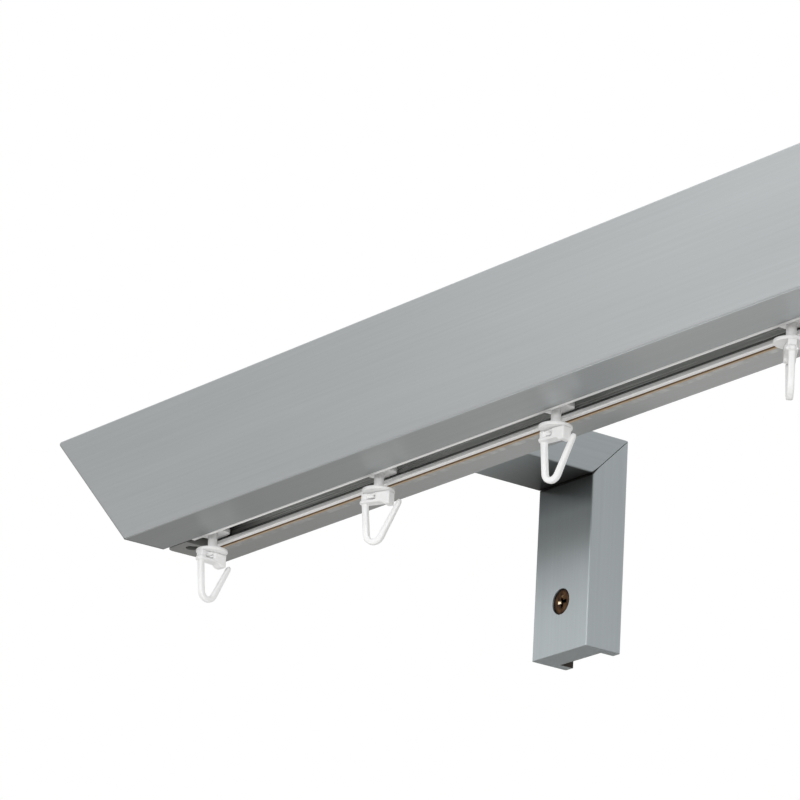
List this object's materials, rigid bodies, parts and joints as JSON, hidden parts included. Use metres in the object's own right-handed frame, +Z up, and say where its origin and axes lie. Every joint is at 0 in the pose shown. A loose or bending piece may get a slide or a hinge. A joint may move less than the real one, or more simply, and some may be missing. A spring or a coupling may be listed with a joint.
{
  "type": "curtain track",
  "caption": "Wall-mounted curtain track: a silver board with slanted ends hides an aluminium channel, held by mitred brackets, with sliding gliders and swivelling open hooks.",
  "frame": {"origin": "centre of the pattern of wall screws, on the wall plane, midway between the two brackets", "axes": "+X along the track to the right as seen from the room, +Y into the wall, +Z up"},
  "size_m": [1.197, 0.086, 0.11],
  "materials": {
    "silver_foil": "fibreboard wrapped in satin silver-grey foil with fine lengthwise lines",
    "rail_aluminium": "mill finish extrusion",
    "grey_plastic": "moulded grey",
    "steel": "zinc plated",
    "yellow_screw": "yellow passivated screw",
    "dowel_wood": "beech",
    "white_plastic": "translucent white moulded plastic"
  },
  "bodies": {
    "track": {"front_board": "silver_foil", "rear_board": "silver_foil", "channel_rail": "rail_aluminium", "left_end_stop": "grey_plastic", "right_end_stop": "grey_plastic", "end_stop_screws": "steel", "left_bracket_arm": "silver_foil", "left_bracket_leg": "silver_foil", "left_mitre_dowels": "dowel_wood", "left_wall_plate": "steel", "left_clamp_screw": "yellow_screw", "left_fixing_strap": "steel", "left_strap_screws": "steel", "right_bracket_arm": "silver_foil", "right_bracket_leg": "silver_foil", "right_mitre_dowels": "dowel_wood", "right_wall_plate": "steel", "right_clamp_screw": "yellow_screw", "right_fixing_strap": "steel", "right_strap_screws": "steel"},
    "glider_01": {"glider_01": "white_plastic"},
    "hook_01": {"hook_01": "white_plastic"},
    "glider_02": {"glider_02": "white_plastic"},
    "hook_02": {"hook_02": "white_plastic"},
    "glider_03": {"glider_03": "white_plastic"},
    "hook_03": {"hook_03": "white_plastic"},
    "glider_04": {"glider_04": "white_plastic"},
    "hook_04": {"hook_04": "white_plastic"},
    "glider_05": {"glider_05": "white_plastic"},
    "hook_05": {"hook_05": "white_plastic"},
    "glider_06": {"glider_06": "white_plastic"},
    "hook_06": {"hook_06": "white_plastic"},
    "glider_07": {"glider_07": "white_plastic"},
    "hook_07": {"hook_07": "white_plastic"},
    "glider_08": {"glider_08": "white_plastic"},
    "hook_08": {"hook_08": "white_plastic"},
    "glider_09": {"glider_09": "white_plastic"},
    "hook_09": {"hook_09": "white_plastic"},
    "glider_10": {"glider_10": "white_plastic"},
    "hook_10": {"hook_10": "white_plastic"},
    "glider_11": {"glider_11": "white_plastic"},
    "hook_11": {"hook_11": "white_plastic"}
  },
  "joints": [
    {"name": "glider_01_slide", "type": "slide", "parent": "track", "child": "glider_01", "axis": [1, 0, 0], "range_m": [-0.0017, 0.0407]},
    {"name": "glider_02_slide", "type": "slide", "parent": "track", "child": "glider_02", "axis": [1, 0, 0], "range_m": [-0.0407, 0.0395]},
    {"name": "glider_03_slide", "type": "slide", "parent": "track", "child": "glider_03", "axis": [1, 0, 0], "range_m": [-0.0395, 0.0497]},
    {"name": "glider_04_slide", "type": "slide", "parent": "track", "child": "glider_04", "axis": [1, 0, 0], "range_m": [-0.0497, 0.0422]},
    {"name": "glider_05_slide", "type": "slide", "parent": "track", "child": "glider_05", "axis": [1, 0, 0], "range_m": [-0.0422, 0.0422]},
    {"name": "glider_06_slide", "type": "slide", "parent": "track", "child": "glider_06", "axis": [1, 0, 0], "range_m": [-0.0422, 0.0422]},
    {"name": "glider_07_slide", "type": "slide", "parent": "track", "child": "glider_07", "axis": [1, 0, 0], "range_m": [-0.0422, 0.0422]},
    {"name": "glider_08_slide", "type": "slide", "parent": "track", "child": "glider_08", "axis": [1, 0, 0], "range_m": [-0.0422, 0.0422]},
    {"name": "glider_09_slide", "type": "slide", "parent": "track", "child": "glider_09", "axis": [1, 0, 0], "range_m": [-0.0422, 0.0422]},
    {"name": "glider_10_slide", "type": "slide", "parent": "track", "child": "glider_10", "axis": [1, 0, 0], "range_m": [-0.0422, 0.0422]},
    {"name": "glider_11_slide", "type": "slide", "parent": "track", "child": "glider_11", "axis": [1, 0, 0], "range_m": [-0.0422, 0.0017]},
    {"name": "hook_01_swivel", "type": "hinge", "parent": "glider_01", "child": "hook_01", "pos_m": [-0.5275, -0.0618, 0.0316], "axis": [0, 0, 1], "continuous": true},
    {"name": "hook_02_swivel", "type": "hinge", "parent": "glider_02", "child": "hook_02", "pos_m": [-0.4257, -0.0618, 0.0316], "axis": [0, 0, 1], "continuous": true},
    {"name": "hook_03_swivel", "type": "hinge", "parent": "glider_03", "child": "hook_03", "pos_m": [-0.3263, -0.0618, 0.0316], "axis": [0, 0, 1], "continuous": true},
    {"name": "hook_04_swivel", "type": "hinge", "parent": "glider_04", "child": "hook_04", "pos_m": [-0.2064, -0.0618, 0.0316], "axis": [0, 0, 1], "continuous": true},
    {"name": "hook_05_swivel", "type": "hinge", "parent": "glider_05", "child": "hook_05", "pos_m": [-0.10156, -0.0618, 0.0316], "axis": [0, 0, 1], "continuous": true},
    {"name": "hook_06_swivel", "type": "hinge", "parent": "glider_06", "child": "hook_06", "pos_m": [0.00329, -0.0618, 0.0316], "axis": [0, 0, 1], "continuous": true},
    {"name": "hook_07_swivel", "type": "hinge", "parent": "glider_07", "child": "hook_07", "pos_m": [0.10813, -0.0618, 0.0316], "axis": [0, 0, 1], "continuous": true},
    {"name": "hook_08_swivel", "type": "hinge", "parent": "glider_08", "child": "hook_08", "pos_m": [0.21297, -0.0618, 0.0316], "axis": [0, 0, 1], "continuous": true},
    {"name": "hook_09_swivel", "type": "hinge", "parent": "glider_09", "child": "hook_09", "pos_m": [0.31781, -0.0618, 0.0316], "axis": [0, 0, 1], "continuous": true},
    {"name": "hook_10_swivel", "type": "hinge", "parent": "glider_10", "child": "hook_10", "pos_m": [0.42266, -0.0618, 0.0316], "axis": [0, 0, 1], "continuous": true},
    {"name": "hook_11_swivel", "type": "hinge", "parent": "glider_11", "child": "hook_11", "pos_m": [0.5275, -0.0618, 0.0316], "axis": [0, 0, 1], "continuous": true}
  ]
}
